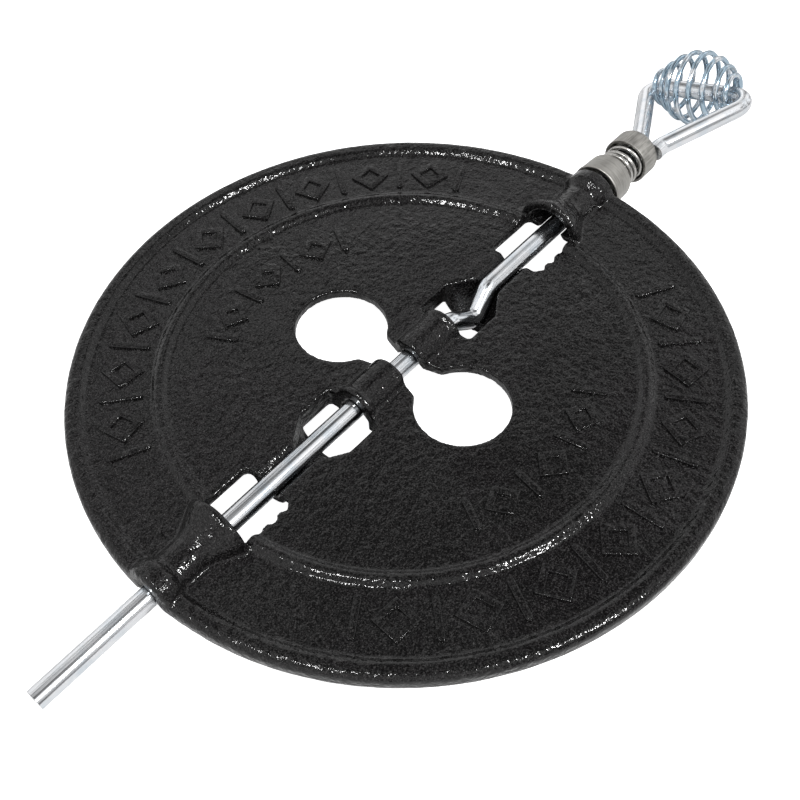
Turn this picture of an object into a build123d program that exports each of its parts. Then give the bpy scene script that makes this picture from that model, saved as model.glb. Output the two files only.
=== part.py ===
from build123d import *
import math
import os

# A cast-iron damper for a round stovepipe: a slotted plate that a bent steel rod carries and turns.
# The origin is the plate's centre, on the rod's axis. +X runs along the rod to the handle, and +Z is
# the plate's upper side. All sizes are in millimetres.

os.makedirs("parts", exist_ok=True)

# The plate fills the pipe but for a gap all round.
pipe_bore = 203.0
pipe_gap = 3.5
plate_thickness = 3.2
rim_width = 6.0
rim_height = 6.4
rim_round = 2.2
ridge_radius = 70.4
ridge_width = 4.4
ridge_height = 1.3
foot_round = 1.2

# A draught hole of two lobes joined by a neck that the rod crosses.
lobe_radius = 14.0
lobe_offset = 23.4
neck_waist = 4.0
neck_mouth = 6.2
lobe_corner_round = 1.5

# The rod, and the play round it in the casting, in the collar that it turns in and in the cup.
rod_diameter = 6.0
casting_play = 0.3
collar_play = 0.08
cup_play = 0.35
seat_gap = 0.3

# Bearings along the rod, from the middle outwards: an arch over it, an open slot, a funnel and a
# trough under it, a second slot and the hub arch. They are alike on both halves.
boss_end = 19.9
boss_wall = 3.1
boss_lip = 0.7
boss_lip_width = 1.7
inner_slot_width = 19.6
inner_slot_end = 32.3
funnel_wall = 1.7
trough_end = 54.3
trough_wall = 2.8
trough_mouth = 10.0
outer_slot_width = 17.2
outer_slot_overlap = 1.5
slot_round = 1.6
skirt_wall = 2.2
skirt_depth = 3.9

# The hub is a half cone that narrows to a neck and ends at the rim in a thick lip. Its lengths run
# inwards from the rim, and those of its flare run outwards from its mouth.
hub_inset = 0.4
hub_length = 25.6
hub_mouth_radius = 11.2
hub_mouth_wall = 2.6
hub_mouth_land = 1.6
hub_flare_length = 10.0
hub_flare_round = 8.0
hub_bore_flare_length = 7.5
hub_neck_radius = 6.5
hub_lip_length = 7.7
hub_lip_rise = 2.6
hub_lip_radius = 8.4
hub_lip_round = 1.6
edge_round = 0.9

# The rod's free end goes through the far wall of the pipe.
tip_length = 36.9
tip_chamfer = 0.7

# A kink in the rod hangs in the inner slot. The spring pulls it into the funnel, whose sides slope as
# it does, and there it carries the plate round. It stands square to the handle's plane.
kink_slope = 33.0
kink_half_length = 9.2
kink_shoulder_bend = 5.5
kink_apex_bend = 4.5
kink_gap = 0.4

# The collar that bears on the pipe, the spring, and the cup that holds the spring's far end.
collar_length = 10.2
collar_base_radius = 8.35
collar_end_radius = 8.0
collar_wall = 1.1
collar_floor = 1.3
collar_shoulder_round = 2.7
spring_length = 13.3
spring_outer_radius = 6.6
spring_wire = 1.4
spring_turns = 4.25
spring_end_gap = 0.1
cup_depth = 7.6
cup_radius = 8.0
cup_wall = 0.9
cup_floor = 1.2
cup_corner_round = 1.1

# The handle is a loop of the same rod, tilted about the rod's axis. The cup rests on
# the start of its first bend.
loop_tilt = -17.6
loop_reach = 39.8
loop_first_side = 22.1
loop_last_side = 21.7
loop_root_bend = 6.0
loop_first_bend = 5.5
loop_last_bend = 6.3
cup_seat = 1.0
tail_straight = 4.1
tail_gap = 0.3
tail_bend = 5.0

# The grip is a barrel of wire wound loosely round the outer side of the loop.
grip_wire = 1.6
grip_turns = 7.75
grip_length = 29.6
grip_shift = 1.0
grip_sag = 0.3
grip_lift = 0.8
grip_middle_radius = 12.1
grip_end_radius = 5.4
grip_fullness = 0.8
grip_pitch_swell = 0.22
grip_start_angle = 340.0

rod_radius = rod_diameter / 2
plate_radius = pipe_bore / 2 - pipe_gap
plate_top = plate_thickness / 2
channel_radius = rod_radius + casting_play
funnel_radius = inner_slot_width / 2
funnel_length = (funnel_radius - channel_radius) / math.tan(math.radians(kink_slope))
trough_start = inner_slot_end + funnel_length
boss_radius = channel_radius + boss_wall
trough_radius = channel_radius + trough_wall
hub_end = plate_radius - hub_inset
hub_mouth = hub_end - hub_length
hub_flare_end = hub_mouth + hub_flare_length
hub_lip_start = hub_end - hub_lip_length
collar_base = plate_radius + seat_gap
collar_end = collar_base + collar_length
cup_floor_inside = collar_end + spring_length
cup_end = cup_floor_inside + cup_floor
far = 2 * plate_radius


def nearest_corner(sketch, x, y):
    """The corner of a flat outline that lies nearest to a place."""
    return sketch.vertices().sort_by_distance((x, y, 0))[0]


def block(low_x, high_x, low_y, high_y, low_z, high_z):
    """A box between two corners."""
    size = (high_x - low_x, high_y - low_y, high_z - low_z)
    middle = ((low_x + high_x) / 2, (low_y + high_y) / 2, (low_z + high_z) / 2)
    return Pos(*middle) * Box(*size)


def turned(outline):
    """A full turn about the rod's axis of an outline drawn as length along X and radius along Y."""
    return revolve(outline, Axis.X, 360)


def upper_half(solid):
    return solid & block(-far, far, -far, far, 0, far)


def lower_half(solid):
    return solid & block(-far, far, -far, far, -far, 0)


def both_ends(solid):
    """A piece and its mirror image at the rod's other end."""
    return solid + mirror(solid, Plane.YZ)


def plate_disc():
    """The disc with its rounded rim bead and the ridge ring on top, turned about Z."""
    bump_radius = (ridge_width**2 / 4 + ridge_height**2) / (2 * ridge_height)
    bump_height = plate_top + ridge_height - bump_radius
    rim_middle = plate_radius - rim_width / 2
    web = Pos(rim_middle / 2, 0) * Rectangle(rim_middle, plate_thickness)
    rim = Pos(rim_middle, 0) * RectangleRounded(rim_width, rim_height, rim_round)
    bump = Pos(ridge_radius, bump_height) * Circle(bump_radius)
    bump &= Pos(ridge_radius, plate_thickness) * Rectangle(2 * ridge_width, 2 * plate_thickness)
    section = web + rim + bump
    feet = [
        nearest_corner(section, plate_radius - rim_width, plate_top),
        nearest_corner(section, plate_radius - rim_width, -plate_top),
        nearest_corner(section, ridge_radius - ridge_width / 2, plate_top),
        nearest_corner(section, ridge_radius + ridge_width / 2, plate_top),
    ]
    section = fillet(feet, foot_round)
    return revolve(Plane.XZ * section, Axis.Z, 360)


def draught_hole():
    """Two lobes and the waisted neck between them, cut right through."""
    mouth_y = lobe_offset - math.sqrt(lobe_radius**2 - neck_mouth**2)
    right = [
        (neck_mouth, -mouth_y),
        (neck_waist, -channel_radius),
        (neck_waist, channel_radius),
        (neck_mouth, mouth_y),
    ]
    ring = right + [(-x, y) for x, y in reversed(right)]
    neck = make_face(Polyline(*ring, close=True))
    lobes = [Pos(0, side) * Circle(lobe_radius) for side in (-lobe_offset, lobe_offset)]
    outline = neck + lobes
    corners = [nearest_corner(outline, x, y) for x in (-neck_mouth, neck_mouth) for y in (-mouth_y, mouth_y)]
    outline = fillet(corners, lobe_corner_round)
    return extrude(outline, plate_thickness, both=True)


def inner_slot():
    """The opening that the kink hangs in, cut right through."""
    length = inner_slot_end - boss_end
    outline = Pos(boss_end + length / 2, 0) * Rectangle(length, inner_slot_width)
    outline = fillet(outline.vertices().sort_by(Axis.X)[:2], slot_round)
    return extrude(outline, far, both=True)


def funnel(wall):
    """A half cone from the slot's full width down to the trough, grown by a wall."""
    points = [
        (inner_slot_end, 0),
        (inner_slot_end, funnel_radius + wall),
        (trough_start, channel_radius + wall),
        (trough_start, 0),
    ]
    return lower_half(turned(make_face(Polyline(*points, close=True))))


def funnel_top():
    """The same taper where it comes up straight through the plate."""
    points = [(inner_slot_end, -funnel_radius), (trough_start, -channel_radius)]
    points += [(x, -y) for x, y in reversed(points)]
    return extrude(make_face(Polyline(*points, close=True)), far)


def outer_slot():
    """The opening between the trough and the hub, cut right through."""
    length = hub_mouth + outer_slot_overlap - trough_end
    outline = Pos(trough_end + length / 2, 0) * RectangleRounded(length, outer_slot_width, slot_round)
    return extrude(outline, far, both=True)


def skirt():
    """What hangs below the plate: a wall round the inner slot, the funnel and the trough."""
    half_width = inner_slot_width / 2 + skirt_wall
    start = boss_end - skirt_wall
    wall = Pos((start + inner_slot_end) / 2, 0) * Rectangle(inner_slot_end - start, 2 * half_width)
    wall = fillet(wall.vertices().sort_by(Axis.X)[:2], slot_round)
    trough = Pos(trough_start, 0, 0) * Rot(0, 90, 0) * Cylinder(
        trough_radius, trough_end - trough_start, align=(Align.CENTER, Align.CENTER, Align.MIN)
    )
    return extrude(wall, -(plate_top + skirt_depth)) + funnel(funnel_wall) + lower_half(trough)


def boss():
    """The half-round arch over the rod beside the draught hole, with a lip at its outer end."""
    lip_start = boss_end - boss_lip_width
    points = [
        (neck_waist, 0),
        (neck_waist, boss_radius),
        (lip_start - boss_lip, boss_radius),
        (lip_start, boss_radius + boss_lip),
        (boss_end, boss_radius + boss_lip),
        (boss_end, 0),
    ]
    outline = make_face(Polyline(*points, close=True))
    rounded = [nearest_corner(outline, *corner) for corner in (points[1], points[3], points[4])]
    return upper_half(turned(fillet(rounded, edge_round)))


def hub():
    """The half cone over the rod at the rim: a flared mouth, a neck and a thick lip."""
    lip_full = hub_lip_start + hub_lip_rise
    mouth_corner = (hub_mouth, hub_mouth_radius)
    land_corner = (hub_mouth + hub_mouth_land, hub_mouth_radius)
    neck_start = (hub_flare_end, hub_neck_radius)
    neck_end = (hub_lip_start, hub_neck_radius)
    lip_corner = (lip_full, hub_lip_radius)
    end_corner = (hub_end, hub_lip_radius)
    mouth_edges = [mouth_corner, land_corner]
    lip_edges = [neck_end, lip_corner, end_corner]
    points = [(hub_mouth, 0), *mouth_edges, neck_start, *lip_edges, (hub_end, 0)]
    outline = make_face(Polyline(*points, close=True))
    outline = fillet([nearest_corner(outline, *corner) for corner in mouth_edges], edge_round)
    outline = fillet(nearest_corner(outline, *neck_start), hub_flare_round)
    outline = fillet([nearest_corner(outline, *corner) for corner in lip_edges], hub_lip_round)
    return upper_half(turned(outline))


def flared_channel(start, end, way):
    """A channel from the rod's axis out through the plate, up or down, with flared sides."""
    half_mouth = trough_mouth / 2
    side = [(channel_radius, 0), (half_mouth, way * plate_top), (half_mouth, way * far)]
    section = make_face(Polyline(*side, *[(-y, z) for y, z in reversed(side)], close=True))
    return extrude(Plane.YZ.offset(start) * section, end - start)


def rod_channel():
    """What the rod needs: a bore, open below under the arches and open above over the troughs."""
    bore = Rot(0, 90, 0) * Cylinder(channel_radius, 2 * far)
    mouth_radius = hub_mouth_radius - hub_mouth_wall
    mouth_end = hub_mouth + hub_bore_flare_length
    points = [(hub_mouth, 0), (hub_mouth, mouth_radius), (mouth_end, channel_radius), (mouth_end, 0)]
    mouth = upper_half(turned(make_face(Polyline(*points, close=True))))
    below_boss = flared_channel(0, boss_end, -1)
    below_hub = flared_channel(hub_mouth, far, -1)
    over_trough = flared_channel(inner_slot_end, trough_end, 1)
    return bore + both_ends(below_boss + below_hub + mouth + over_trough)


def damper_plate():
    """The casting: the disc is cut for the slots before the arches go over them."""
    plate = plate_disc() + both_ends(skirt())
    plate -= both_ends(inner_slot() + outer_slot() + funnel(0) + funnel_top())
    plate += both_ends(boss() + hub())
    return plate - draught_hole() - rod_channel()


def wire_sweep(path, radius):
    """One unbroken round wire along a path."""
    section = Plane(origin=path @ 0, z_dir=path % 0) * Circle(radius)
    return sweep(section, path)


def biarc(start, start_way, end, end_way):
    """Two arcs that leave one point along its way and arrive at the next along that one's way."""
    chord = end - start
    spread = 2 * (1 - start_way.dot(end_way))
    along = chord.dot(start_way + end_way)
    reach = (math.sqrt(along**2 + spread * chord.dot(chord)) - along) / spread
    first = start + start_way * reach
    last = end - end_way * reach
    middle = (first + last) * 0.5
    return [
        Edge.make_tangent_arc(start, start_way, middle),
        Edge.make_tangent_arc(middle, last - first, end),
    ]


def wound_wire(centre_line, turns, wire):
    """A coil of wire along a formula of the share wound, from 0 to 1, in spans of up to half a turn."""
    half_turns = math.ceil(2 * turns)
    step = 0.001
    shares = [k / half_turns for k in range(half_turns + 1)]
    points = [centre_line(share) for share in shares]
    ways = [(centre_line(share + step) - centre_line(share - step)).normalized() for share in shares]
    edges = []
    for k in range(half_turns):
        edges += biarc(points[k], ways[k], points[k + 1], ways[k + 1])
    return wire_sweep(Wire(edges), wire / 2)


def least_gap(centre_line, turns, wire):
    """The narrowest gap between a coil's neighbouring turns, measured on points along it."""
    per_turn = 24
    count = round(per_turn * turns)
    points = [centre_line(k / count) for k in range(count + 1)]
    apart = per_turn // 2
    gaps = [
        (points[i] - points[j]).length - wire
        for i in range(count + 1)
        for j in range(i + apart, count + 1)
    ]
    return min(gaps)


def loop_point(along, across):
    """A point in the handle's tilted plane."""
    tilt = math.radians(loop_tilt)
    return Vector(along, across * math.cos(tilt), across * math.sin(tilt))


def bend_reach(before, corner, after, bend):
    """How far a bend's arc starts from its corner."""
    turn = math.radians((corner - before).get_angle(after - corner))
    return bend * math.tan(turn / 2)


root_turn = math.atan2(loop_first_side, loop_reach)
loop_root_x = cup_end - cup_seat + loop_root_bend * math.tan(root_turn / 2)
loop_outer_x = loop_root_x + loop_reach
tail_side = rod_diameter + tail_gap
tail_x = cup_end + seat_gap

loop_root = loop_point(loop_root_x, 0)
loop_first_corner = loop_point(loop_outer_x, loop_first_side)
loop_last_corner = loop_point(loop_outer_x, -loop_last_side)
loop_tail_corner = loop_point(tail_x + tail_straight, -tail_side)
loop_tail = loop_point(tail_x, -tail_side)


def handle_rod():
    """The rod from its free tip, through the kink, to the loop of the handle and its tucked-in tail."""
    slope = math.radians(kink_slope)
    tilt = math.radians(loop_tilt)
    kink_depth = kink_half_length * math.tan(slope)
    nearer = channel_radius - (rod_radius + kink_gap) / math.cos(slope)
    kink_end = trough_start + nearer / math.tan(slope)
    points = [
        Vector(-hub_end - tip_length, 0, 0),
        Vector(kink_end - 2 * kink_half_length, 0, 0),
        Vector(kink_end - kink_half_length, kink_depth * math.sin(tilt), -kink_depth * math.cos(tilt)),
        Vector(kink_end, 0, 0),
        loop_root,
        loop_first_corner,
        loop_last_corner,
        loop_tail_corner,
        loop_tail,
    ]
    bends = [kink_shoulder_bend, kink_apex_bend, kink_shoulder_bend,
             loop_root_bend, loop_first_bend, loop_last_bend, tail_bend]
    rod = wire_sweep(FilletPolyline(*points, radius=bends), rod_radius)
    tip = rod.faces().sort_by(Axis.X)[0]
    return chamfer(tip.edges(), tip_chamfer)


first_reach = bend_reach(loop_root, loop_first_corner, loop_last_corner, loop_first_bend)
last_reach = bend_reach(loop_first_corner, loop_last_corner, loop_tail_corner, loop_last_bend)
straight_top = loop_first_side - first_reach
straight_bottom = -loop_last_side + last_reach
grip_middle = (straight_top + straight_bottom) / 2 + grip_shift


def rod_drop(across):
    """How far the loop's outer side has curved back towards the plate at a place along it."""
    if across > straight_top:
        past = min(across - straight_top, loop_first_bend)
        return loop_first_bend - math.sqrt(loop_first_bend**2 - past**2)
    past = min(max(straight_bottom - across, 0), loop_last_bend)
    return loop_last_bend - math.sqrt(loop_last_bend**2 - past**2)


def grip_line(share):
    """The grip wire's centre line, a barrel round the outer side of the loop, widest in the middle."""
    spread = share - grip_pitch_swell * math.sin(2 * math.pi * share) / (2 * math.pi)
    across = grip_middle + grip_length * (0.5 - spread)
    swell = (math.sin(math.pi * share) ** 2) ** grip_fullness
    radius = grip_end_radius + (grip_middle_radius - grip_end_radius) * swell
    angle = math.radians(grip_start_angle) + 2 * math.pi * grip_turns * share
    tilt = math.radians(loop_tilt)
    centre = loop_point(loop_outer_x + grip_sag - rod_drop(across), across)
    upright = Vector(0, -math.sin(tilt), math.cos(tilt))
    height = grip_lift + radius * math.sin(angle)
    return centre + Vector(1, 0, 0) * radius * math.cos(angle) + upright * height


def spring_line(share):
    """The spring wire's centre line, from the collar's closed end to the cup's floor."""
    margin = spring_end_gap + spring_wire / 2
    along = collar_end + margin + share * (spring_length - 2 * margin)
    radius = spring_outer_radius - spring_wire / 2
    angle = 2 * math.pi * spring_turns * share
    return Vector(along, radius * math.cos(angle), radius * math.sin(angle))


def pipe_collar():
    """A thimble drawn from sheet steel, open towards the plate, that bears on the pipe's outside."""
    hole_radius = rod_radius + collar_play
    outer = [(collar_base, collar_base_radius), (collar_end, collar_end_radius)]
    inside_end = collar_end - collar_floor
    points = outer + [
        (collar_end, hole_radius),
        (inside_end, hole_radius),
        (inside_end, collar_end_radius - collar_wall),
        (collar_base, collar_base_radius - collar_wall),
    ]
    outline = make_face(Polyline(*points, close=True))
    outline = fillet(nearest_corner(outline, *points[1]), collar_shoulder_round)
    inner_round = collar_shoulder_round - collar_wall
    outline = fillet(nearest_corner(outline, *points[4]), inner_round)
    return turned(outline)


def spring_cup():
    """A shallow pressed cup over the spring's far end, held on the rod by the loop's shoulder."""
    mouth = cup_end - cup_depth
    hole_radius = rod_radius + cup_play
    points = [
        (mouth, cup_radius),
        (cup_end, cup_radius),
        (cup_end, hole_radius),
        (cup_floor_inside, hole_radius),
        (cup_floor_inside, cup_radius - cup_wall),
        (mouth, cup_radius - cup_wall),
    ]
    outline = make_face(Polyline(*points, close=True))
    outline = fillet(nearest_corner(outline, *points[1]), cup_corner_round)
    return turned(outline)


pieces = {
    "damper_plate": damper_plate(),
    "handle_rod": handle_rod(),
    "grip_coil": wound_wire(grip_line, grip_turns, grip_wire),
    "pipe_collar": pipe_collar(),
    "spring": wound_wire(spring_line, spring_turns, spring_wire),
    "spring_cup": spring_cup(),
}
for name, piece in pieces.items():
    piece.label = name
    export_step(piece, f"parts/{name}.step")

print("grip coil, least gap between turns:", round(least_gap(grip_line, grip_turns, grip_wire), 2))
print("spring, least gap between turns:", round(least_gap(spring_line, spring_turns, spring_wire), 2))
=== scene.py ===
import math

import bmesh
import bpy
from mathutils import Matrix, Vector


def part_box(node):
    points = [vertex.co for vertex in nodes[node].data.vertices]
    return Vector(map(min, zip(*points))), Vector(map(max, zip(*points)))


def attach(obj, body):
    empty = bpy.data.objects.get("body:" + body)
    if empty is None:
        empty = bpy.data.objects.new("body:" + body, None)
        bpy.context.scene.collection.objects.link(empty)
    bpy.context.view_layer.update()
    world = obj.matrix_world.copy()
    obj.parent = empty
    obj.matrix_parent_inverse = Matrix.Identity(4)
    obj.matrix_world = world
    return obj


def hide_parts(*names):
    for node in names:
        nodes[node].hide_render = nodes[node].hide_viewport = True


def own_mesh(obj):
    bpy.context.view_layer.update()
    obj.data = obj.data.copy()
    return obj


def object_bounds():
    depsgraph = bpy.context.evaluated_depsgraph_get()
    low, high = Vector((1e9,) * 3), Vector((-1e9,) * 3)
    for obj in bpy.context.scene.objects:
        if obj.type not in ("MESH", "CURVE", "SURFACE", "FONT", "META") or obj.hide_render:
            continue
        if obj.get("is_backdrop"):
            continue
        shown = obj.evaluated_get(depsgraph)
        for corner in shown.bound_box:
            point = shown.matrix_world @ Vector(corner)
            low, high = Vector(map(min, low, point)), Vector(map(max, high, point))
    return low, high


bl_info = {
    "name": "Stovepipe damper",
    "version": (1, 0, 0),
    "blender": (4, 5, 0),
    "location": "View3D > Sidebar > Damper",
    "description": "Cast plate, bent rod, coil grip and spring of a stovepipe damper",
    "category": "Object",
}

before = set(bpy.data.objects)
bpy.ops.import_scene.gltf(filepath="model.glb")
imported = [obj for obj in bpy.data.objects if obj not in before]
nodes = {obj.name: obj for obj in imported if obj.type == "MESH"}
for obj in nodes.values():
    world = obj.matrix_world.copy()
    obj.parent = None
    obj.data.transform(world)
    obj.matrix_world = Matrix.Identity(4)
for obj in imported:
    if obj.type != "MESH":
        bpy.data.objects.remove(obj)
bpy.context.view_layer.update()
collar_low, collar_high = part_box("pipe_collar")
cup_low, cup_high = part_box("spring_cup")

# Sizes are in metres and angles in degrees. X runs along the rod, from the free tip to the handle, and
# the plate lies level, with its raised side up.
mm = 0.001


# Settings
class DamperSizes(bpy.types.PropertyGroup):
    """Sizes that a user may change."""

    voxel: bpy.props.FloatProperty(
        name="Casting voxel", description="Cell of the remesh that rounds the casting's corners",
        default=0.45 * mm, min=0.3 * mm, unit="LENGTH")
    relief_height: bpy.props.FloatProperty(
        name="Relief height", description="How far the border pattern stands off the plate",
        default=0.8 * mm, min=0.0, unit="LENGTH")
    relief_width: bpy.props.FloatProperty(
        name="Relief width", description="Width of the border pattern's bars",
        default=2.1 * mm, min=0.5 * mm, unit="LENGTH")
    roughcast: bpy.props.FloatProperty(
        name="Roughcast", description="Depth of the casting's uneven skin",
        default=0.14 * mm, min=0.0, unit="LENGTH")
    grip_wire: bpy.props.FloatProperty(
        name="Grip wire", description="Thickness of the wire of the coil grip",
        default=1.85 * mm, unit="LENGTH")
    grip_turns: bpy.props.FloatProperty(
        name="Grip turns", description="Turns of the coil grip", default=7.75, min=2.0)
    spring_wire: bpy.props.FloatProperty(
        name="Spring wire", description="Thickness of the spring's wire",
        default=1.4 * mm, unit="LENGTH")
    spring_turns: bpy.props.FloatProperty(
        name="Spring turns", description="Turns of the spring", default=4.75, min=2.0)


class DamperColours(bpy.types.PropertyGroup):
    """Base colours, in linear light."""

    enamel: bpy.props.FloatVectorProperty(
        name="Enamel", description="Black coat on the casting", subtype="COLOR", size=3,
        default=(0.0024, 0.0022, 0.0023), min=0.0, max=1.0)
    # Pale specks in the enamel's colour: a grain of tone that also stands in for the glints of its
    # pebbled skin, so partly painted glints.
    glint_speck: bpy.props.FloatVectorProperty(
        name="Speck", description="Pale specks in the enamel", subtype="COLOR", size=3,
        default=(0.034, 0.0325, 0.0325), min=0.0, max=1.0)
    zinc: bpy.props.FloatVectorProperty(
        name="Zinc", description="Bright plated rod", subtype="COLOR", size=3,
        default=(0.76, 0.77, 0.79), min=0.0, max=1.0)
    # A blue tint that stands in for the blue of the wire's reflections and shaded sides: painted
    # reflection and shade.
    blue_reflection_tint: bpy.props.FloatVectorProperty(
        name="Blue zinc", description="Blue cast of the plating", subtype="COLOR", size=3,
        default=(0.38, 0.49, 0.58), min=0.0, max=1.0)
    satin: bpy.props.FloatVectorProperty(
        name="Satin steel", description="Collar and cup", subtype="COLOR", size=3,
        default=(0.34, 0.33, 0.31), min=0.0, max=1.0)
    spring: bpy.props.FloatVectorProperty(
        name="Spring steel", description="Spring wire", subtype="COLOR", size=3,
        default=(0.50, 0.49, 0.47), min=0.0, max=1.0)


def sizes():
    return bpy.context.scene.damper_sizes


def colours():
    return bpy.context.scene.damper_colours


# Modelling helpers
turned_faces = 128
turned_corner_angle = 22.0
smooth_angle = 40.0
merge_distance = 1e-6


def clear_selection():
    if bpy.context.mode != "OBJECT":
        bpy.ops.object.mode_set(mode="OBJECT")
    bpy.ops.object.select_all(action="DESELECT")
    bpy.context.view_layer.objects.active = None


def pick(*objects):
    """Selects these objects alone and makes the first one active."""
    clear_selection()
    for item in objects:
        item.select_set(True)
    bpy.context.view_layer.objects.active = objects[0]


def settle(piece, name):
    """Names a piece and moves its place into its mesh."""
    pick(piece)
    bpy.ops.object.transform_apply(location=True, rotation=True, scale=True)
    piece.name = name
    piece.data.name = name
    return piece


def add_modifier(piece, kind, **values):
    """Adds a modifier, sets it and applies it."""
    pick(piece)
    modifier = piece.modifiers.new(kind.lower(), kind)
    for key, value in values.items():
        setattr(modifier, key, value)
    bpy.ops.object.modifier_apply(modifier=modifier.name)


def smooth(piece, angle):
    pick(piece)
    bpy.ops.object.shade_smooth_by_angle(angle=math.radians(angle))


def copy_of(piece, matrix):
    """A copy with its own mesh, moved by a matrix."""
    twin = piece.copy()
    twin.data = piece.data.copy()
    twin.data.transform(matrix)
    bpy.context.scene.collection.objects.link(twin)
    return twin


def select_edges(piece, wanted):
    """Selects, in edit mode, the edges that pass a test."""
    bpy.ops.mesh.select_mode(type="EDGE")
    bpy.ops.mesh.select_all(action="DESELECT")
    work = bmesh.from_edit_mesh(piece.data)
    for edge in work.edges:
        edge.select_set(wanted(edge))
    bmesh.update_edit_mesh(piece.data)


def turned_section(start, end, start_side, end_side, mouth_radius):
    """Stations of a turned piece, as places along X and radii: its outside from the mouth to the far
    end, and back along the inside. The sides are in millimetres from the start and back from the end."""
    stations = [(start + along * mm, radius * mm) for along, radius in start_side]
    stations += [(end - along * mm, radius * mm) for along, radius in end_side]
    return stations + [(start, mouth_radius * mm)]


def turned_piece(name, stations, corner_width):
    """A ring turned on the rod's axis: a circle is extruded and scaled from one station of its section
    to the next, and back to the first. Then its corners are rounded."""
    clear_selection()
    first_x, first_radius = stations[0]
    bpy.ops.mesh.primitive_circle_add(
        vertices=turned_faces, radius=first_radius, location=(first_x, 0, 0),
        rotation=(0, math.pi / 2, 0))
    piece = bpy.context.object
    bpy.ops.object.transform_apply(location=True, rotation=True, scale=True)
    bpy.ops.object.mode_set(mode="EDIT")
    bpy.ops.mesh.select_all(action="SELECT")
    x, radius = first_x, first_radius
    for next_x, next_radius in stations[1:] + stations[:1]:
        bpy.ops.mesh.extrude_edges_move(TRANSFORM_OT_translate={"value": (next_x - x, 0, 0)})
        share = next_radius / radius
        bpy.ops.transform.resize(value=(1, share, share), center_override=(next_x, 0, 0))
        x, radius = next_x, next_radius
    bpy.ops.mesh.select_all(action="SELECT")
    bpy.ops.mesh.remove_doubles(threshold=merge_distance)
    bpy.ops.mesh.normals_make_consistent(inside=False)
    bpy.ops.object.mode_set(mode="OBJECT")
    settle(piece, name)
    add_modifier(piece, "BEVEL", width=corner_width, segments=4, limit_method="ANGLE",
                 angle_limit=math.radians(turned_corner_angle), use_clamp_overlap=True)
    smooth(piece, smooth_angle)
    return piece


# Wires. A wire has so many faces round it, a coil so many curve points in a turn, and each curve so many
# steps from point to point. A cut end's bevel is a share of the radius. A face of a wire's side has four
# corners, and that of a cut end has more.
wire_faces = 32
wound_points_per_turn = 12
wound_steps = 4
bent_steps = 14
cut_end_bevel = 0.28
side_corners = 4


def bent_path(corners, bends):
    """Bezier points of a rod that is straight between its corners and bent to an arc at each."""
    points = []
    count = len(corners)
    for index, corner in enumerate(corners):
        if index in (0, count - 1):
            points.append((corner, None, None))
            continue
        before = (corners[index - 1] - corner).normalized()
        after = (corners[index + 1] - corner).normalized()
        turn = math.pi - before.angle(after)
        bend = bends[index - 1]
        reach = bend * math.tan(turn / 2)
        handle = bend * 4 / 3 * math.tan(turn / 4)
        start, end = corner + before * reach, corner + after * reach
        points.append((start, None, start - before * handle))
        points.append((end, end - after * handle, None))
    return points


def new_curve(count):
    """A curve with one line of Bezier points."""
    clear_selection()
    bpy.ops.curve.primitive_bezier_curve_add()
    piece = bpy.context.object
    piece.data.splines.clear()
    places = piece.data.splines.new("BEZIER").bezier_points
    places.add(count - 1)
    return piece, places


def bent_wire(name, points, radius):
    """A round wire along Bezier points."""
    piece, places = new_curve(len(points))
    for place, (point, left, right) in zip(places, points):
        place.co = point
        place.handle_left_type = "FREE" if left else "VECTOR"
        place.handle_right_type = "FREE" if right else "VECTOR"
        place.handle_left = left or point
        place.handle_right = right or point
    finish_wire(piece, radius, bent_steps)
    return settle(piece, name)


def wound_wire(name, centre_line, turns, radius):
    """A coil of wire along a formula of the share wound, from 0 to 1."""
    count = round(turns * wound_points_per_turn)
    piece, places = new_curve(count + 1)
    for index, place in enumerate(places):
        place.co = centre_line(index / count)
        place.handle_left_type = "AUTO"
        place.handle_right_type = "AUTO"
    finish_wire(piece, radius, wound_steps)
    return settle(piece, name)


def finish_wire(piece, radius, steps):
    """Gives a curve its round section, makes it a mesh and rounds its cut ends."""
    curve = piece.data
    curve.dimensions = "3D"
    curve.resolution_u = steps
    curve.bevel_depth = radius
    curve.bevel_resolution = (wire_faces - 4) // 2
    curve.use_fill_caps = True
    piece.location = (0, 0, 0)
    pick(piece)
    bpy.ops.object.convert(target="MESH")
    mark_straight(piece.data, radius)
    round_cut_ends(piece, radius)


def mark_straight(mesh, radius):
    """Stores, for the drawn streaks, where each vertex would lie if the wire were straight along X:
    the length along, and the two sides round it."""
    places = [vertex.co.copy() for vertex in mesh.vertices]
    mark = mesh.attributes.new("straight", "FLOAT_VECTOR", "POINT")
    along, last = 0.0, None
    for row in range(0, len(places), wire_faces):
        middle = sum(places[row:row + wire_faces], Vector()) / wire_faces
        if last is not None:
            along += (middle - last).length
        last = middle
        for index in range(wire_faces):
            angle = 2 * math.pi * index / wire_faces
            mark.data[row + index].vector = (along, radius * math.cos(angle), radius * math.sin(angle))


def round_cut_ends(piece, radius):
    """Bevels the rim of both cut ends."""
    pick(piece)
    bpy.ops.object.mode_set(mode="EDIT")
    bpy.ops.mesh.select_mode(type="FACE")
    bpy.ops.mesh.select_all(action="SELECT")
    bpy.ops.mesh.remove_doubles(threshold=0.1 * merge_distance)
    bpy.ops.mesh.normals_make_consistent(inside=False)
    bpy.ops.mesh.select_all(action="DESELECT")
    work = bmesh.from_edit_mesh(piece.data)
    for face in work.faces:
        face.select_set(len(face.verts) > side_corners)
    bmesh.update_edit_mesh(piece.data)
    bpy.ops.mesh.region_to_loop()
    bpy.ops.mesh.bevel(offset=radius * cut_end_bevel, segments=3, affect="EDGES")
    bpy.ops.object.mode_set(mode="OBJECT")
    smooth(piece, smooth_angle)


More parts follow.
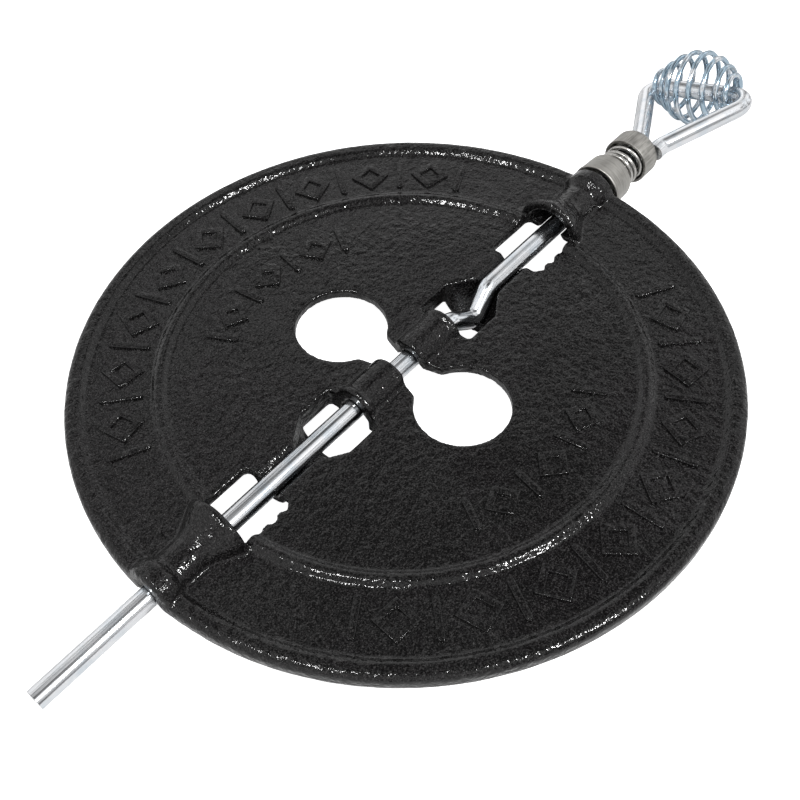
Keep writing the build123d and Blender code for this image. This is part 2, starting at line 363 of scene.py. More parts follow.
# Shader helpers
class Sheet:
    """Adds and links nodes in a node tree."""

    spacing = 180

    def __init__(self, tree):
        self.tree = tree

    def add(self, kind, **values):
        """Adds a node to the right of the others and sets its values."""
        node = self.tree.nodes.new(kind)
        node.location = (self.spacing * len(self.tree.nodes), 0)
        for key, value in values.items():
            setattr(node, key, value)
        return node

    def link(self, start, end):
        self.tree.links.new(start, end)

    def fill(self, slot, value):
        """Links a socket to a slot, or gives the slot a plain value."""
        if isinstance(value, bpy.types.NodeSocket):
            self.link(value, slot)
        else:
            slot.default_value = value

    def noise(self, vector, scale, detail, roughness=0.5):
        node = self.add("ShaderNodeTexNoise")
        self.link(vector, node.inputs["Vector"])
        for name, value in (("Scale", scale), ("Detail", detail), ("Roughness", roughness)):
            node.inputs[name].default_value = value
        return node.outputs["Fac"]

    def stretch(self, vector, scale):
        """Scales a place by another amount along each axis."""
        node = self.add("ShaderNodeMapping")
        self.link(vector, node.inputs["Vector"])
        self.fill(node.inputs["Scale"], scale)
        return node.outputs["Vector"]

    def spread(self, value, low, high, out_low=0.0, out_high=1.0):
        """Maps a value from one range to another and holds it there."""
        node = self.add("ShaderNodeMapRange")
        names = ("Value", "From Min", "From Max", "To Min", "To Max")
        for name, part in zip(names, (value, low, high, out_low, out_high)):
            self.fill(node.inputs[name], part)
        return node.outputs["Result"]

    def calculate(self, operation, first, second):
        node = self.add("ShaderNodeMath", operation=operation)
        self.fill(node.inputs[0], first)
        self.fill(node.inputs[1], second)
        return node.outputs["Value"]

    def weighed(self, first, first_share, second, second_share):
        """The sum of two values, each times its share."""
        return self.calculate("ADD", self.calculate("MULTIPLY", first, first_share),
                              self.calculate("MULTIPLY", second, second_share))

    def blend(self, share, first, second):
        """Mixes two colours, each a socket or three numbers."""
        node = self.add("ShaderNodeMix", data_type="RGBA")
        self.link(share, node.inputs["Factor"])
        colour_slots = [slot for slot in node.inputs if slot.type == "RGBA"]
        for slot, value in zip(colour_slots, (first, second)):
            self.fill(slot, value if isinstance(value, bpy.types.NodeSocket) else (*value, 1.0))
        return next(slot for slot in node.outputs if slot.type == "RGBA")

    def bump(self, height, distance):
        node = self.add("ShaderNodeBump")
        self.link(height, node.inputs["Height"])
        node.inputs["Distance"].default_value = distance
        return node.outputs["Normal"]


def new_group(name, inputs, outputs):
    """A shader node group with named sockets, each given by its name and kind."""
    group = bpy.data.node_groups.new(name, "ShaderNodeTree")
    for label, kind in inputs:
        group.interface.new_socket(name=label, in_out="INPUT", socket_type=kind)
    for label, kind in outputs:
        group.interface.new_socket(name=label, in_out="OUTPUT", socket_type=kind)
    sheet = Sheet(group)
    return group, sheet, sheet.add("NodeGroupInput"), sheet.add("NodeGroupOutput")


def shared_group(name, build):
    """The group of this name, which is built at its first use."""
    return bpy.data.node_groups.get(name) or build(name)


def new_material(name):
    material = bpy.data.materials.new(name)
    material.use_nodes = True
    material.node_tree.nodes.clear()
    sheet = Sheet(material.node_tree)
    shader = sheet.add("ShaderNodeBsdfPrincipled")
    output = sheet.add("ShaderNodeOutputMaterial")
    sheet.link(shader.outputs["BSDF"], output.inputs["Surface"])
    return material, sheet, shader


def shaded(colour, share):
    """A colour with its light times a share."""
    return [share * part for part in colour]


# The enamel. Its noises are in waves per metre. A range is two levels of a noise and, where they
# follow, the two values that these become.
patch_scale = 24.0
patch_range = (0.4, 0.62, 0.35, 1.0)
ripple_scale = 430.0
pebble_scale = 1200.0
pebble_share = 0.13
grain_scale = 2300.0
enamel_bump = 0.7 * mm
glint_speck_range = (0.52, 0.66)
enamel_roughness = (0.3, 0.7, 0.06, 0.14)
enamel_gloss = 0.32


def enamel_material():
    """Glossy black enamel over cast iron: rippled in patches like orange peel, with pale specks in its
    colour that partly stand in for the glints of its pebbled skin: painted glints.
    """
    material, sheet, shader = new_material("black_enamel")
    place = sheet.add("ShaderNodeTexCoord").outputs["Object"]
    patch = sheet.spread(sheet.noise(place, patch_scale, 2.0), *patch_range)
    ripple = sheet.noise(place, ripple_scale, 2.0, 0.55)
    pebble = sheet.noise(place, pebble_scale, 1.0)
    grain = sheet.noise(place, grain_scale, 2.0, 0.7)
    height = sheet.weighed(ripple, patch, pebble, pebble_share)
    # Pale specks follow the grain into the colour: partly painted glints.
    colour = sheet.blend(sheet.spread(grain, *glint_speck_range), colours().enamel, colours().glint_speck)
    sheet.link(colour, shader.inputs["Base Color"])
    sheet.link(sheet.spread(grain, *enamel_roughness), shader.inputs["Roughness"])
    sheet.link(sheet.bump(height, enamel_bump), shader.inputs["Normal"])
    shader.inputs["Specular IOR Level"].default_value = enamel_gloss
    return material


# Drawn wire. Streaks are in waves per metre along the wire and across it. A piece's roughness is spread
# over the streaks between two shares of it.
fine_streaks = (18, 1500, 1500)
fine_share = 0.5
broad_streaks = (30, 420, 420)
broad_share = 0.5
tint_cloud_scale = 160.0
line_range = (0.36, 0.45)
line_darkness = 0.5
streak_bump = 0.12 * mm
streak_range = (0.35, 0.65)
streak_roughness = (0.7, 1.5)
# Each piece's tint levels say where the clouds mix in its tint of painted reflection and shade.
rod_tint_levels = (0.45, 0.75)
rod_roughness = 0.15
grip_tint_levels = (0.36, 0.52)
grip_roughness = 0.12
spring_tint_levels = (0.4, 0.6)
spring_roughness = 0.2
spring_shade = 0.8


def drawn_streak_group(name):
    """Long fine lines of drawn wire, and clouds between two levels that mix in a wire's tint: painted
    reflection and shade.
    """
    group, sheet, start, end = new_group(
        name,
        [("Place", "NodeSocketVector"), ("Tint Low", "NodeSocketFloat"),
         ("Tint High", "NodeSocketFloat")],
        [("Streaks", "NodeSocketFloat"), ("Tint Clouds", "NodeSocketFloat")])
    place = start.outputs["Place"]
    fine = sheet.noise(sheet.stretch(place, fine_streaks), 1.0, 3.0, 0.6)
    broad = sheet.noise(sheet.stretch(place, broad_streaks), 1.0, 2.0)
    clouds = sheet.noise(place, tint_cloud_scale, 4.0, 0.6)
    tint_clouds = sheet.spread(clouds, start.outputs["Tint Low"], start.outputs["Tint High"])
    sheet.link(sheet.weighed(fine, fine_share, broad, broad_share), end.inputs["Streaks"])
    sheet.link(tint_clouds, end.inputs["Tint Clouds"])
    return group


def drawn_material(name, bright, tint, tint_levels, roughness):
    """Plated wire: dark lines along its length, and a tint that clouds mix in: painted blue reflection
    and shade on the rod and grip, painted shade on the spring.
    """
    material, sheet, shader = new_material(name)
    streak_group = shared_group("drawn_streaks", drawn_streak_group)
    drawn = sheet.add("ShaderNodeGroup", node_tree=streak_group)
    place = sheet.add("ShaderNodeAttribute", attribute_name="straight").outputs["Vector"]
    sheet.link(place, drawn.inputs["Place"])
    for label, level in zip(("Tint Low", "Tint High"), tint_levels):
        drawn.inputs[label].default_value = level
    streaks, tint_clouds = drawn.outputs["Streaks"], drawn.outputs["Tint Clouds"]
    # Clouds mix the tint into the colour: painted reflection and shade.
    plated = sheet.blend(tint_clouds, bright, tint)
    scratched = sheet.blend(tint_clouds, shaded(bright, line_darkness), shaded(tint, line_darkness))
    colour = sheet.blend(sheet.spread(streaks, *line_range), scratched, plated)
    sheet.link(colour, shader.inputs["Base Color"])
    sheet.link(sheet.spread(streaks, *streak_range, *shaded(streak_roughness, roughness)),
               shader.inputs["Roughness"])
    sheet.link(sheet.bump(streaks, streak_bump), shader.inputs["Normal"])
    shader.inputs["Metallic"].default_value = 1.0
    return material


# Collar and cup. Brushed lines are in waves per metre along the axis and across it. The dark and light
# of a piece are shares of its base colour.
collar_lines = (1600.0, 160.0, 160.0)
collar_dark = 0.8
collar_light = 1.25
cup_lines = (160.0, 1800.0, 1800.0)
cup_dark = 0.65
cup_light = 1.3
brushed_share = 0.65
film_scale = 260.0
film_share = 0.35
film_range = (0.38, 0.62)
pit_scale = 1900.0
pit_share = 0.5
brushed_bump = 0.03 * mm
brushed_roughness = (0.3, 0.7, 0.34, 0.5)


def brushed_film_group(name):
    """Brushed lines, as fine as asked along each axis, under a dull cloudy film with small pits."""
    group, sheet, start, end = new_group(
        name,
        [("Place", "NodeSocketVector"), ("Fineness", "NodeSocketVector")],
        [("Lines", "NodeSocketFloat"), ("Shade", "NodeSocketFloat"), ("Height", "NodeSocketFloat")])
    place = start.outputs["Place"]
    lines = sheet.noise(sheet.stretch(place, start.outputs["Fineness"]), 1.0, 3.0, 0.6)
    film = sheet.noise(place, film_scale, 4.0, 0.6)
    pits = sheet.noise(place, pit_scale, 2.0, 0.6)
    sheet.link(lines, end.inputs["Lines"])
    sheet.link(sheet.weighed(film, film_share, lines, brushed_share), end.inputs["Shade"])
    sheet.link(sheet.weighed(lines, 1.0, pits, pit_share), end.inputs["Height"])
    return group


def satin_material(name, fineness, dark, light):
    """Grey steel with brushed lines and a dull film."""
    material, sheet, shader = new_material(name)
    film_group = shared_group("brushed_film", brushed_film_group)
    brushed = sheet.add("ShaderNodeGroup", node_tree=film_group)
    sheet.link(sheet.add("ShaderNodeTexCoord").outputs["Object"], brushed.inputs["Place"])
    brushed.inputs["Fineness"].default_value = fineness
    base = colours().satin
    colour = sheet.blend(sheet.spread(brushed.outputs["Shade"], *film_range),
                         shaded(base, dark), shaded(base, light))
    sheet.link(colour, shader.inputs["Base Color"])
    sheet.link(sheet.spread(brushed.outputs["Lines"], *brushed_roughness), shader.inputs["Roughness"])
    sheet.link(sheet.bump(brushed.outputs["Height"], brushed_bump), shader.inputs["Normal"])
    shader.inputs["Metallic"].default_value = 1.0
    return material


def give(piece, material, slot, body, *replaced):
    """Paints a piece, ties it to its body and hides the solids that it stands for. Its slot is not used.
    """
    piece.data.materials.clear()
    piece.data.materials.append(material)
    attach(piece, body)
    if replaced:
        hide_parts(*replaced)


# The casting. Each bite out of a slot's edge is its place along X, its radius and its depth, in
# millimetres.
slot_edge_y = -8.6 * mm
slot_bites = ((57.0, 1.5, 0.9), (61.6, 1.9, 1.2), (66.4, 1.4, 0.7), (70.2, 1.1, 0.3))
bite_faces = 24
bite_height = 20 * mm
corner_softness = 0.5
corner_rounds = 2
roughcast_grain = 5.0 * mm
plate_triangles = 185000


class DAMPER_OT_plate(bpy.types.Operator):
    """Casts the plate: its solid with bitten slot edges, under one soft skin"""

    bl_idname = "damper.plate"
    bl_label = "Cast plate"

    def execute(self, context):
        casting = self.unmarked_copy(context, nodes["damper_plate"])
        self.bite_slot_edges(casting)
        add_modifier(casting, "REMESH", mode="VOXEL", voxel_size=sizes().voxel)
        add_modifier(casting, "SMOOTH", factor=corner_softness, iterations=corner_rounds)
        skin = bpy.data.textures.new("roughcast", "CLOUDS")
        skin.noise_scale = roughcast_grain
        skin.noise_depth = 2
        add_modifier(casting, "DISPLACE", texture=skin, texture_coords="LOCAL",
                     strength=sizes().roughcast, mid_level=0.5)
        triangles = len(casting.data.polygons) * 2
        add_modifier(casting, "DECIMATE", ratio=min(1.0, plate_triangles / triangles))
        settle(casting, "iron_plate")
        bpy.ops.object.shade_smooth()
        give(casting, enamel_material(), "black_iron", "plate", "damper_plate")
        return {"FINISHED"}

    def unmarked_copy(self, context, solid):
        """A merged copy of a solid of the frame, without the marks that say that it is one."""
        casting = solid.copy()
        casting.data = solid.data.copy()
        casting.parent = None
        for key in list(casting.keys()):
            del casting[key]
        context.scene.collection.objects.link(casting)
        pick(casting)
        bpy.ops.object.mode_set(mode="EDIT")
        bpy.ops.mesh.select_all(action="SELECT")
        bpy.ops.mesh.remove_doubles(threshold=merge_distance)
        bpy.ops.object.mode_set(mode="OBJECT")
        return casting

    def bite_slot_edges(self, casting):
        """Bites small rounds out of the outer slots' nearer edges, as rough flash leaves them."""
        bites = []
        for way in (-1, 1):
            for x, radius, depth in slot_bites:
                clear_selection()
                y = slot_edge_y + (radius - depth) * mm
                bpy.ops.mesh.primitive_cylinder_add(
                    vertices=bite_faces, radius=radius * mm, depth=bite_height,
                    location=(way * x * mm, y, 0))
                bites.append(bpy.context.object)
        pick(*bites)
        bpy.ops.object.join()
        cutter = bpy.context.object
        bpy.ops.object.transform_apply(location=True, rotation=True, scale=True)
        add_modifier(casting, "BOOLEAN", operation="DIFFERENCE", object=cutter, solver="EXACT",
                     use_self=True)
        bpy.data.objects.remove(cutter)


# The raised border. Each band is its middle radius, half its width and its spans, which run from one
# angle to another and hold so many lozenges.
plate_top = 1.6 * mm
relief_bands = (
    (81.6 * mm, 6.4 * mm, ((153.0, 27.0, 9), (-147.0, -30.0, 8))),
    (54.6 * mm, 5.2 * mm, ((119.0, 61.0, 3), (-119.0, -61.0, 3))),
)
lozenge_share = 0.31
bar_length = 10 * mm
bar_corner_share = 0.4
edge_softness = 0.35
upper_share = 0.9
level_normal = 0.9
relief_smooth_angle = 50.0


def soften_top(piece, height):
    """Rounds the upper edges of a raised piece: those at its height beside just one level face."""
    def is_upper(edge):
        low = min(vertex.co.z for vertex in edge.verts)
        level_faces = [face for face in edge.link_faces if abs(face.normal.z) > level_normal]
        return low > upper_share * height and len(level_faces) == 1

    select_edges(piece, is_upper)
    bpy.ops.mesh.bevel(offset=edge_softness * height, segments=3, affect="EDGES")
    bpy.ops.object.mode_set(mode="OBJECT")


def relief_bar(height):
    """One round-ended bar of the border, lying along X across the plate's top."""
    clear_selection()
    bpy.ops.mesh.primitive_cube_add(size=1)
    bar = bpy.context.object
    width = sizes().relief_width
    bar.dimensions = (bar_length, width, 2 * height)
    bpy.ops.object.transform_apply(location=True, rotation=True, scale=True)
    bpy.ops.object.mode_set(mode="EDIT")

    def is_upright(edge):
        start, end = edge.verts
        return abs(start.co.z - end.co.z) > height

    select_edges(bar, is_upright)
    bpy.ops.mesh.bevel(offset=width * bar_corner_share, segments=4, affect="EDGES")
    soften_top(bar, height)
    return settle(bar, "relief_bar")


def relief_lozenge(half_across, half_up, height):
    """One hollow lozenge of the border: a four-sided face is inset, opened and raised."""
    clear_selection()
    bpy.ops.mesh.primitive_circle_add(
        vertices=4, radius=half_up, fill_type="NGON", location=(0, 0, -height))
    ring = bpy.context.object
    ring.scale.y = half_across / half_up
    bpy.ops.object.transform_apply(location=True, rotation=True, scale=True)
    bpy.ops.object.mode_set(mode="EDIT")
    bpy.ops.mesh.select_mode(type="FACE")
    bpy.ops.mesh.select_all(action="SELECT")
    bpy.ops.mesh.inset(thickness=sizes().relief_width, use_outset=False)
    bpy.ops.mesh.delete(type="FACE")
    bpy.ops.mesh.select_all(action="SELECT")
    bpy.ops.mesh.extrude_region_move(TRANSFORM_OT_translate={"value": (0, 0, 2 * height)})
    bpy.ops.mesh.select_mode(type="EDGE")
    bpy.ops.mesh.select_all(action="DESELECT")
    bpy.ops.mesh.select_non_manifold()
    bpy.ops.mesh.bridge_edge_loops()
    bpy.ops.mesh.select_all(action="SELECT")
    bpy.ops.mesh.normals_make_consistent(inside=False)
    soften_top(ring, height)
    return settle(ring, "relief_lozenge")


def turned_out(radius, angle, share=1.0):
    """A place on the plate's top whose X points outwards, stretched along X."""
    turn = Matrix.Rotation(math.radians(angle), 4, "Z")
    return turn @ Matrix.Translation((radius, 0, plate_top)) @ Matrix.Diagonal((share, 1, 1, 1))


def relief_span(radius, half, first, last, count):
    """Bars across a band with a lozenge between each two, from one angle to another."""
    step = (last - first) / count
    height = sizes().relief_height
    bar = relief_bar(height)
    across = radius * math.radians(abs(step)) * lozenge_share
    lozenge = relief_lozenge(across, half, height)
    parts = []
    for index in range(count + 1):
        parts.append(copy_of(bar, turned_out(radius, first + step * index, 2 * half / bar_length)))
        if index < count:
            parts.append(copy_of(lozenge, turned_out(radius, first + step * (index + 0.5))))
    bpy.data.objects.remove(bar)
    bpy.data.objects.remove(lozenge)
    return parts


class DAMPER_OT_border(bpy.types.Operator):
    """Lays the raised border of bars and lozenges on the plate"""

    bl_idname = "damper.border"
    bl_label = "Raised border"

    def execute(self, context):
        parts = []
        for radius, half, spans in relief_bands:
            for span in spans:
                parts += relief_span(radius, half, *span)
        pick(*parts)
        bpy.ops.object.join()
        border = settle(context.object, "plate_border")
        smooth(border, relief_smooth_angle)
        give(border, bpy.data.materials["black_enamel"], "black_iron", "plate")
        return {"FINISHED"}


# The rod. A side is a distance from its axis in the loop's tilted plane, and a bend is the radius of
# the rod's middle line.
rod_radius = 3.0 * mm
tip_x = -134.5 * mm
kink_half_length = 9.2 * mm
kink_slope = 33.0
kink_end_x = 41.15 * mm
kink_bend = 5.5 * mm
kink_foot_bend = 4.5 * mm
loop_tilt = -17.6
loop_root_x = 123.55 * mm
loop_root_bend = 6.0 * mm
loop_outer_x = 163.35 * mm
loop_first_side = 22.1 * mm
loop_first_bend = 5.5 * mm
loop_last_side = 21.7 * mm
loop_last_bend = 6.3 * mm
tail_x = 123.3 * mm
tail_side = 6.3 * mm
tail_straight = 4.1 * mm
tail_bend = 5.0 * mm


def loop_point(along, across):
    """A place in the handle's tilted plane."""
    tilt = math.radians(loop_tilt)
    return Vector((along, across * math.cos(tilt), across * math.sin(tilt)))


class DAMPER_OT_rod(bpy.types.Operator):
    """Bends the rod: free tip, kink, and the loop of the handle with its tucked-in tail"""

    bl_idname = "damper.rod"
    bl_label = "Bent rod"

    def execute(self, context):
        tilt = math.radians(loop_tilt)
        depth = kink_half_length * math.tan(math.radians(kink_slope))
        corners = [
            Vector((tip_x, 0, 0)),
            Vector((kink_end_x - 2 * kink_half_length, 0, 0)),
            Vector((kink_end_x - kink_half_length, depth * math.sin(tilt), -depth * math.cos(tilt))),
            Vector((kink_end_x, 0, 0)),
            loop_point(loop_root_x, 0),
            loop_point(loop_outer_x, loop_first_side),
            loop_point(loop_outer_x, -loop_last_side),
            loop_point(tail_x + tail_straight, -tail_side),
            loop_point(tail_x, -tail_side),
        ]
        bends = (kink_bend, kink_foot_bend, kink_bend, loop_root_bend, loop_first_bend, loop_last_bend,
                 tail_bend)
        rod = bent_wire("steel_rod", bent_path(corners, bends), rod_radius)
        # The rod's tint is half the blue: painted blue reflection and shade.
        tint = [0.5 * (a + b) for a, b in zip(colours().zinc, colours().blue_reflection_tint)]
        paint = drawn_material("zinc_rod", colours().zinc, tint, rod_tint_levels, rod_roughness)
        give(rod, paint, "zinc_rod", "handle", "handle_rod")
        return {"FINISHED"}


# The coil grip, a barrel round the loop's outer side, which is straight from its low to its high end.
outer_side_high = 11.3 * mm
outer_side_low = -9.0 * mm
grip_length = 29.6 * mm
grip_middle = 1.7 * mm
grip_middle_radius = 12.1 * mm
grip_end_radius = 5.4 * mm
grip_fullness = 0.8
grip_pitch_swell = 0.22
grip_start_angle = 340.0
grip_sag = 0.8 * mm
grip_lift = 0.8 * mm


def rod_drop(across):
    """How far the loop's outer side has curved back towards the plate."""
    if across > outer_side_high:
        past = min(across - outer_side_high, loop_first_bend)
        return loop_first_bend - math.sqrt(loop_first_bend**2 - past**2)
    past = min(max(outer_side_low - across, 0), loop_last_bend)
    return loop_last_bend - math.sqrt(loop_last_bend**2 - past**2)


def grip_line(share):
    """The grip's barrel round the loop's outer side, with wider turns in the middle."""
    spread = share - grip_pitch_swell * math.sin(2 * math.pi * share) / (2 * math.pi)
    across = grip_middle + grip_length * (0.5 - spread)
    swell = (math.sin(math.pi * share) ** 2) ** grip_fullness
    radius = grip_end_radius + (grip_middle_radius - grip_end_radius) * swell
    angle = math.radians(grip_start_angle) + 2 * math.pi * sizes().grip_turns * share
    tilt = math.radians(loop_tilt)
    centre = loop_point(loop_outer_x + grip_sag - rod_drop(across), across)
    upright = Vector((0, -math.sin(tilt), math.cos(tilt)))
    height = grip_lift + radius * math.sin(angle)
    return centre + Vector((1, 0, 0)) * radius * math.cos(angle) + upright * height


class DAMPER_OT_grip(bpy.types.Operator):
    """Winds the barrel of wire round the loop's outer side"""

    bl_idname = "damper.grip"
    bl_label = "Coil grip"

    def execute(self, context):
        coil = wound_wire("coil_grip", grip_line, sizes().grip_turns, sizes().grip_wire / 2)
        # The grip's tint is the full blue: painted blue reflection and shade.
        paint = drawn_material("zinc_wire", colours().zinc, colours().blue_reflection_tint, grip_tint_levels,
                               grip_roughness)
        give(coil, paint, "zinc_wire", "handle", "grip_coil")
        return {"FINISHED"}


# The spring, between the collar and the cup.
spring_start = 108.6 * mm
spring_end = 121.7 * mm
spring_outer_radius = 6.6 * mm
spring_closing = 0.45


def spring_line(share):
    """The spring's turns, which close up at both ends."""
    wire = sizes().spring_wire
    spread = share - spring_closing * math.sin(2 * math.pi * share) / (2 * math.pi)
    along = spring_start + wire / 2 + spread * (spring_end - spring_start - wire)
    radius = spring_outer_radius - wire / 2
    angle = 2 * math.pi * sizes().spring_turns * share
    return Vector((along, radius * math.cos(angle), radius * math.sin(angle)))


class DAMPER_OT_spring(bpy.types.Operator):
    """Winds the spring between the collar and the cup"""

    bl_idname = "damper.spring"
    bl_label = "Spring"

    def execute(self, context):
        coil = wound_wire("push_spring", spring_line, sizes().spring_turns, sizes().spring_wire / 2)
        steel = colours().spring
        paint = drawn_material("spring_wire", steel, shaded(steel, spring_shade), spring_tint_levels,
                               spring_roughness)
        give(coil, paint, "spring_steel", "collar", "spring")
        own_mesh(coil)
        return {"FINISHED"}


# The sections of the collar and the cup, in millimetres. Pairs are a place and a radius. Places on the
# start side count from the open mouth, and those on the end side back from the closed end.
collar_wall = 1.3
collar_bore = 3.1
collar_mouth = 7.25
collar_start_side = ((0.0, 8.45), (0.9, 8.5), (1.5, 8.28))
collar_end_side = (
    (2.5, 8.05), (1.5, 7.75), (0.6, 6.95), (0.0, 5.4), (0.0, collar_bore),
    (collar_wall, collar_bore), (collar_wall, 5.2), (2.9, 6.9),
)
collar_corner = 0.35 * mm
cup_wall = 1.2
cup_bore = 3.35
cup_mouth = 7.1
cup_start_side = ((0.0, 8.0),)
cup_end_side = (
    (1.0, 8.0), (0.3, 7.7), (0.0, 6.9), (0.0, cup_bore), (cup_wall, cup_bore), (cup_wall, 6.9),
    (1.5, cup_mouth),
)
cup_corner = 0.25 * mm


class DAMPER_OT_collar(bpy.types.Operator):
    """Turns the collar that bears on the pipe, open towards the plate"""

    bl_idname = "damper.collar"
    bl_label = "Pipe collar"

    def execute(self, context):
        stations = turned_section(
            collar_low.x, collar_high.x, collar_start_side, collar_end_side, collar_mouth)
        collar = turned_piece("pipe_collar_sleeve", stations, collar_corner)
        paint = satin_material("turned_steel", collar_lines, collar_dark, collar_light)
        give(collar, paint, "satin_steel", "collar", "pipe_collar")
        return {"FINISHED"}


class DAMPER_OT_cup(bpy.types.Operator):
    """Presses the cup over the spring's far end"""

    bl_idname = "damper.cup"
    bl_label = "Spring cup"

    def execute(self, context):
        stations = turned_section(cup_low.x, cup_high.x, cup_start_side, cup_end_side, cup_mouth)
        cup = turned_piece("pressed_cup", stations, cup_corner)
        paint = satin_material("pressed_steel", cup_lines, cup_dark, cup_light)
        give(cup, paint, "satin_steel", "handle", "spring_cup")
        return {"FINISHED"}


# The stage. The camera's place is in metres and its angles are in degrees.
camera_place = Vector((-0.146267, -0.135175, 0.245210))
camera_azimuth = -43.61
camera_elevation = 53.41
camera_roll = -5.22
camera_lens = 48.50
camera_sensor = 36.0
camera_shift = (0.04854, 0.02081)
camera_clip = 0.01
floor_size = 6.0
floor_gap = 0.1 * mm
floor_grey = (0.8, 0.8, 0.8, 1.0)
white = (1.0, 1.0, 1.0, 1.0)

# Each softbox is its name, its direction from the plate, its width and length, and its power in watts.
lamp_distance = 1.2
softboxes = (
    ("front_lamp", (0.10, -0.65, 0.75), 0.13, 0.13, 10.0),
    ("left_lamp", (-0.42, -0.05, 0.90), 0.06, 0.25, 7.0),
)

# The surround is white to the camera and even on matt surfaces. Glossy ones mirror it mottled and with
# grey zones, each given by its direction, the angles at which it is full and at which it ends, and the
# share of light that it leaves.
surround_matt = 0.25
surround_mirrored = 0.85
surround_patch_scale = 5.0
surround_mottle = (0.37, 0.53, 0.25, 1.45)
grey_zones = (
    ((0.34, 0.22, 0.92), 4.0, 24.0, 0.38),
    ((0.22, 0.40, 0.89), 3.0, 12.0, 0.45),
    ((0.07, -0.14, 0.97), 8.0, 16.0, 0.1),
    ((0.70, 0.25, 0.66), 8.0, 26.0, 0.75),
    ((-0.10, -0.99, 0.06), 8.0, 28.0, 0.25),
)


def camera_matrix():
    """The camera's place and turn. Its back is the way from what it sees to itself."""
    azimuth, elevation, roll = (
        math.radians(angle) for angle in (camera_azimuth, camera_elevation, camera_roll))
    back = Vector((math.sin(azimuth) * math.cos(elevation), -math.cos(azimuth) * math.cos(elevation),
                   math.sin(elevation)))
    level = Vector((math.cos(azimuth), math.sin(azimuth), 0))
    upright = back.cross(level)
    right = level * math.cos(roll) + upright * math.sin(roll)
    up = upright * math.cos(roll) - level * math.sin(roll)
    turn = Matrix((right, up, back)).transposed().to_4x4()
    return Matrix.Translation(camera_place) @ turn


def softbox(name, direction, width, length, power):
    """An oblong lamp that looks at the plate's middle from one direction."""
    place = Vector(direction).normalized() * lamp_distance
    clear_selection()
    bpy.ops.object.light_add(type="AREA", location=place)
    lamp = bpy.context.object
    lamp.name = name
    lamp.data.shape = "RECTANGLE"
    lamp.data.size = width
    lamp.data.size_y = length
    lamp.data.energy = power
    lamp.rotation_euler = (-place).to_track_quat("-Z", "Y").to_euler()


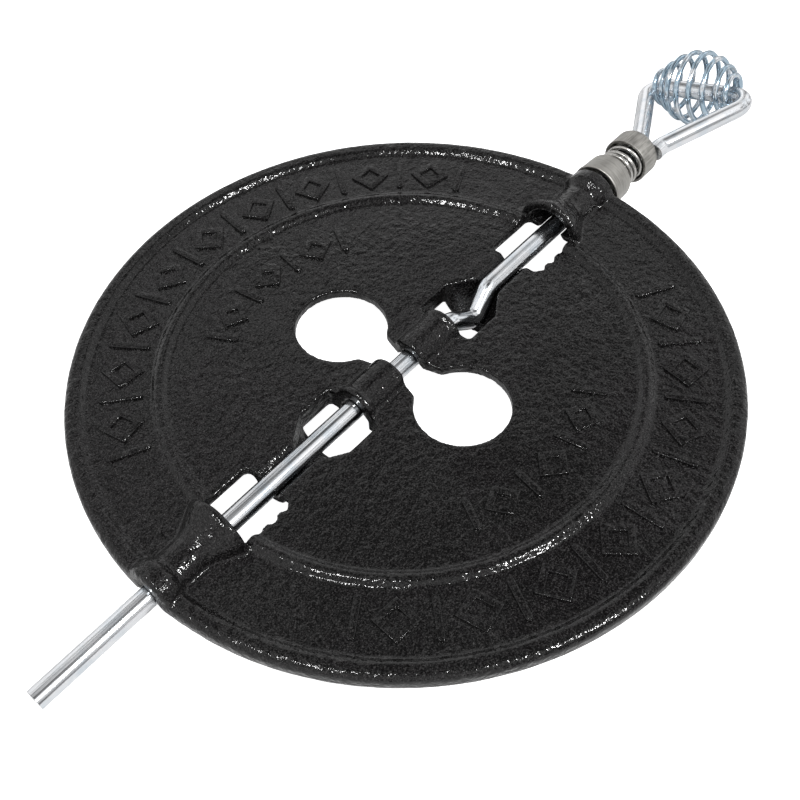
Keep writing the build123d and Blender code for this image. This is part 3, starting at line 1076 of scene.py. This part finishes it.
class DAMPER_OT_stage(bpy.types.Operator):
    """Sets up the pale floor, the white surround, the soft lamps and the camera"""

    bl_idname = "damper.stage"
    bl_label = "Stage"

    def execute(self, context):
        scene = context.scene
        scene.view_settings.view_transform = "Standard"
        self.floor()
        self.surround(scene)
        for box in softboxes:
            softbox(*box)
        clear_selection()
        bpy.ops.object.camera_add()
        camera = context.object
        camera.matrix_world = camera_matrix()
        camera.data.sensor_width = camera_sensor
        camera.data.lens = camera_lens
        camera.data.shift_x, camera.data.shift_y = camera_shift
        camera.data.clip_start = camera_clip
        scene.camera = camera
        return {"FINISHED"}

    def floor(self):
        """A pale floor just below the object, which glows white to the camera alone."""
        clear_selection()
        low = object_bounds()[0]
        bpy.ops.mesh.primitive_plane_add(size=floor_size, location=(0, 0, low[2] - floor_gap))
        floor = bpy.context.object
        settle(floor, "floor")
        material = bpy.data.materials.new("white_floor")
        material.use_nodes = True
        material.node_tree.nodes.clear()
        sheet = Sheet(material.node_tree)
        matt = sheet.add("ShaderNodeBsdfDiffuse")
        matt.inputs["Color"].default_value = floor_grey
        glow = sheet.add("ShaderNodeEmission")
        glow.inputs["Color"].default_value = white
        sheet.link(sheet.add("ShaderNodeLightPath").outputs["Is Camera Ray"], glow.inputs["Strength"])
        both = sheet.add("ShaderNodeAddShader")
        sheet.link(matt.outputs["BSDF"], both.inputs[0])
        sheet.link(glow.outputs["Emission"], both.inputs[1])
        output = sheet.add("ShaderNodeOutputMaterial")
        sheet.link(both.outputs["Shader"], output.inputs["Surface"])
        floor.data.materials.append(material)
        floor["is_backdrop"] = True

    def surround(self, scene):
        """The world: white to the camera, even to matt surfaces, mottled and zoned in mirrored rays."""
        world = bpy.data.worlds.new("studio")
        world.use_nodes = True
        scene.world = world
        world.node_tree.nodes.clear()
        sheet = Sheet(world.node_tree)
        rays = sheet.add("ShaderNodeLightPath")
        direction = sheet.add("ShaderNodeTexCoord").outputs["Generated"]
        walls = sheet.spread(sheet.noise(direction, surround_patch_scale, 1.0), *surround_mottle)
        for toward, inner, outer, left in grey_zones:
            nearness = sheet.add("ShaderNodeVectorMath", operation="DOT_PRODUCT")
            nearness.inputs[1].default_value = Vector(toward).normalized()
            sheet.link(direction, nearness.inputs[0])
            full, ended = math.cos(math.radians(inner)), math.cos(math.radians(outer))
            zone = sheet.spread(nearness.outputs["Value"], ended, full, 1.0, left)
            walls = sheet.calculate("MULTIPLY", walls, zone)
        mirrored = rays.outputs["Is Glossy Ray"]
        matt = sheet.calculate("SUBTRACT", 1.0, mirrored)
        walls = sheet.calculate("MULTIPLY", walls, surround_mirrored)
        level = sheet.weighed(walls, mirrored, matt, surround_matt)
        level = sheet.calculate("MAXIMUM", level, rays.outputs["Is Camera Ray"])
        glow = sheet.add("ShaderNodeBackground")
        glow.inputs["Color"].default_value = white
        sheet.link(level, glow.inputs["Strength"])
        output = sheet.add("ShaderNodeOutputWorld")
        sheet.link(glow.outputs["Background"], output.inputs["Surface"])


# Panel and start
class DAMPER_PT_panel(bpy.types.Panel):
    """Builds the damper piece by piece"""

    bl_label = "Stovepipe damper"
    bl_idname = "DAMPER_PT_panel"
    bl_space_type = "VIEW_3D"
    bl_region_type = "UI"
    bl_category = "Damper"

    def draw(self, context):
        for operator in operators:
            self.layout.operator(operator.bl_idname)
        for group in (sizes(), colours()):
            for name in group.__annotations__:
                self.layout.prop(group, name)


operators = (
    DAMPER_OT_plate, DAMPER_OT_border, DAMPER_OT_rod, DAMPER_OT_grip, DAMPER_OT_spring,
    DAMPER_OT_collar, DAMPER_OT_cup, DAMPER_OT_stage,
)
classes = (DamperSizes, DamperColours, *operators, DAMPER_PT_panel)


def register():
    for item in classes:
        bpy.utils.register_class(item)
    bpy.types.Scene.damper_sizes = bpy.props.PointerProperty(type=DamperSizes)
    bpy.types.Scene.damper_colours = bpy.props.PointerProperty(type=DamperColours)


def unregister():
    del bpy.types.Scene.damper_colours
    del bpy.types.Scene.damper_sizes
    for item in reversed(classes):
        bpy.utils.unregister_class(item)


def main():
    register()
    bpy.ops.damper.plate()
    bpy.ops.damper.border()
    bpy.ops.damper.rod()
    bpy.ops.damper.grip()
    bpy.ops.damper.spring()
    bpy.ops.damper.collar()
    bpy.ops.damper.cup()
    bpy.ops.damper.stage()


if __name__ == "__main__":
    main()
